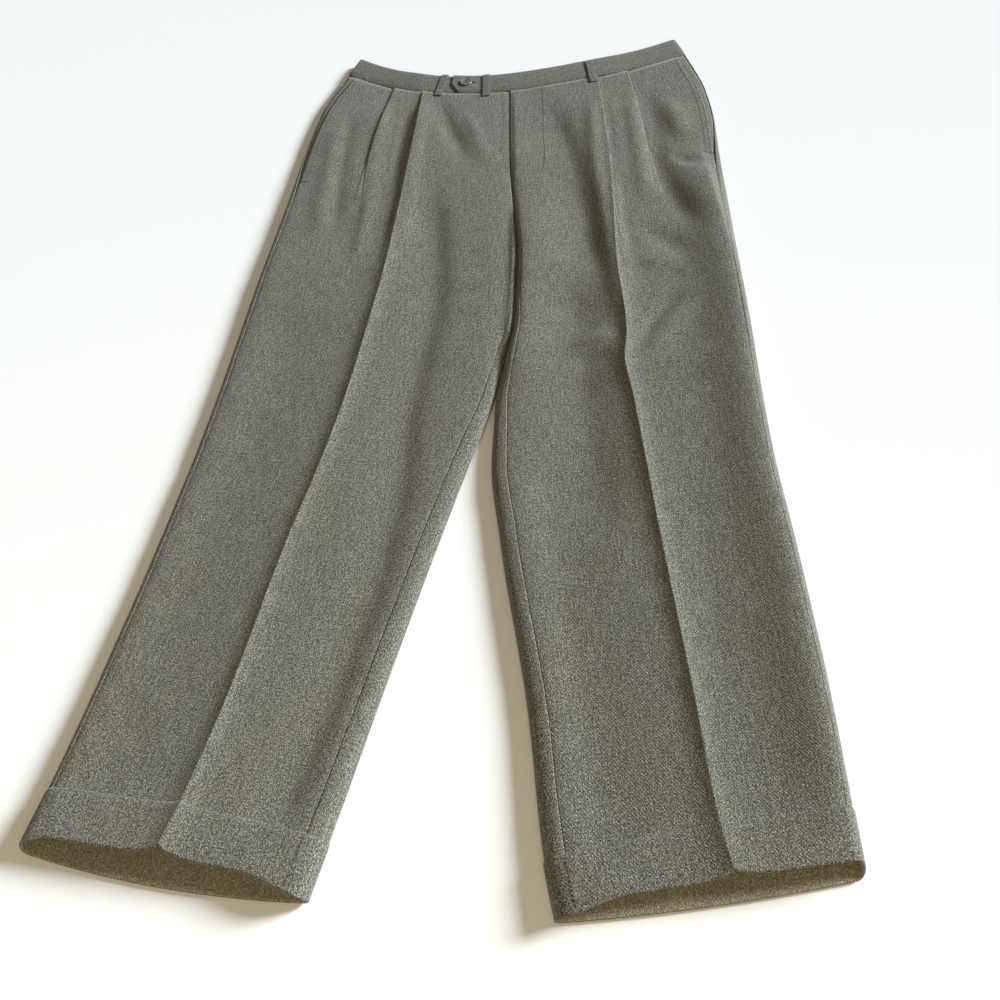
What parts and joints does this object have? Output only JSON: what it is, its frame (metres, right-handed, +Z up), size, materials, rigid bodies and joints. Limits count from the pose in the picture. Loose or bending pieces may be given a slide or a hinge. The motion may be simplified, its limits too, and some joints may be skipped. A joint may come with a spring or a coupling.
{
  "type": "pleated dress trousers",
  "caption": "Grey melange wool dress trousers with reverse pleats, slant pockets, a tab waistband, pressed creases and turn-ups, fastened and laid flat with the front up.",
  "frame": {"origin": "centre of the garment's box, on the surface it lies on", "axes": "+X to the wearer's left (the right of someone looking from the hems to the waist), +Y from the hems to the waist, +Z up out of the front"},
  "size_m": [0.6602, 1.1176, 0.0261],
  "materials": {
    "cloth": "matt grey melange wool flannel, fine twill, pressed",
    "band_cloth": "the same wool over a firm interlining, topstitched",
    "pocket_cloth": "the same wool, in shadow inside the pocket mouth",
    "button": "grey horn-effect resin, satin"
  },
  "bodies": {
    "root": {"front_left": "cloth", "front_right": "cloth", "back_left": "cloth", "back_right": "cloth", "turn_up_left": "cloth", "turn_up_right": "cloth", "pocket_facing_left": "pocket_cloth", "pocket_facing_right": "pocket_cloth", "waistband_left": "band_cloth", "waistband_right": "band_cloth", "belt_loop_front_left": "band_cloth", "belt_loop_front_right": "band_cloth", "belt_loop_tab": "band_cloth", "belt_loop_back_left": "band_cloth", "belt_loop_back_right": "band_cloth", "belt_loop_centre_back": "band_cloth", "button": "button"}
  },
  "joints": []
}
